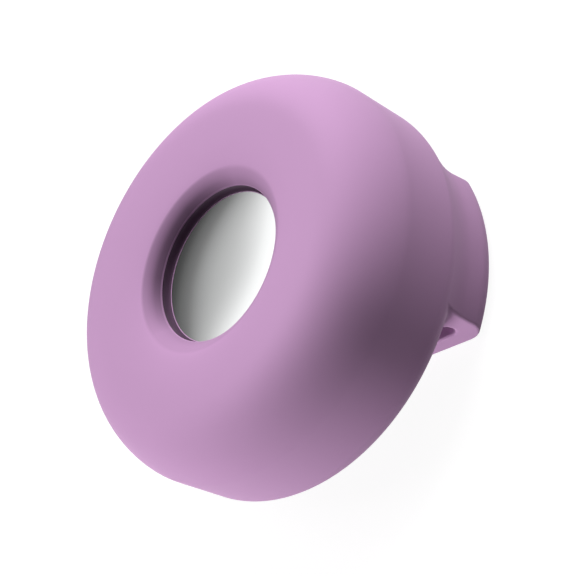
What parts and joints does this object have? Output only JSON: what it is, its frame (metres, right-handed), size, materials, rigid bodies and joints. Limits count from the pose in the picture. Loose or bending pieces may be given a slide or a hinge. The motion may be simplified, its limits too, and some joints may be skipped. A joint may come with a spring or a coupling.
{
  "type": "tracker tag holder",
  "caption": "Thick soft ring-shaped holder with a round tracker tag in its window and a flat strap loop behind it.",
  "frame": {"origin": "centre of the flat rear face of the strap loop, on the axis of the window", "axes": "+Z out of the window, X across the strap, Y along the strap"},
  "size_m": [0.052, 0.052, 0.0252],
  "materials": {
    "silicone": "soft matt lilac silicone",
    "white_plastic": "glossy white",
    "polished_steel": "mirror-polished stainless steel",
    "frame_plastic": "moulded off-white",
    "foam": "closed-cell foam",
    "seal_rubber": "black rubber",
    "contact_metal": "gold-plated spring alloy",
    "cell_steel": "satin nickel-plated steel",
    "dark_plastic": "moulded dark grey",
    "cathode": "pressed black powder",
    "separator": "thin white felt",
    "anode": "dull grey metal",
    "board": "green solder mask",
    "chip": "black moulded package",
    "shield": "tinned metal",
    "ceramic": "brown ceramic",
    "magnet": "nickel-plated magnet",
    "copper": "enamelled copper wire"
  },
  "bodies": {
    "holder": {"holder_body": "silicone"},
    "tag": {"tag_shell": "white_plastic", "battery_tray": "frame_plastic", "positive_contacts": "contact_metal", "negative_contact": "contact_metal", "circuit_board": "board", "radio_chip": "chip", "wideband_chip": "shield", "memory_chip": "chip", "crystal": "shield", "capacitors": "ceramic", "magnet_yoke": "cell_steel", "speaker_magnet": "magnet", "voice_coil": "copper", "antenna_frame": "dark_plastic", "wideband_antenna": "contact_metal", "bluetooth_antenna": "contact_metal", "nfc_coil": "copper"},
    "cell": {"cell_can": "cell_steel", "cell_cap": "cell_steel", "cell_gasket": "dark_plastic", "cathode_pellet": "cathode", "cell_separator": "separator", "lithium_disc": "anode"},
    "cover": {"battery_cover": "polished_steel", "cover_ring": "frame_plastic", "cover_foam": "foam", "cover_seal": "seal_rubber"}
  },
  "joints": [
    {"name": "tag_turn", "type": "hinge", "parent": "holder", "child": "tag", "pos_m": [0, 0, 0.01745], "axis": [0, 0, 1], "continuous": true},
    {"name": "cover_press", "type": "slide", "parent": "tag", "child": "cell", "axis": [0, 0, -1], "range_m": [0, 0.00035], "stiffness_N_per_m": 4000, "springref_m": -0.0003, "deforming": ["negative_contact"]},
    {"name": "cover_turn", "type": "hinge", "parent": "cell", "child": "cover", "pos_m": [0, 0, 0.01745], "axis": [0, 0, 1], "range_deg": [0, 24]}
  ]
}
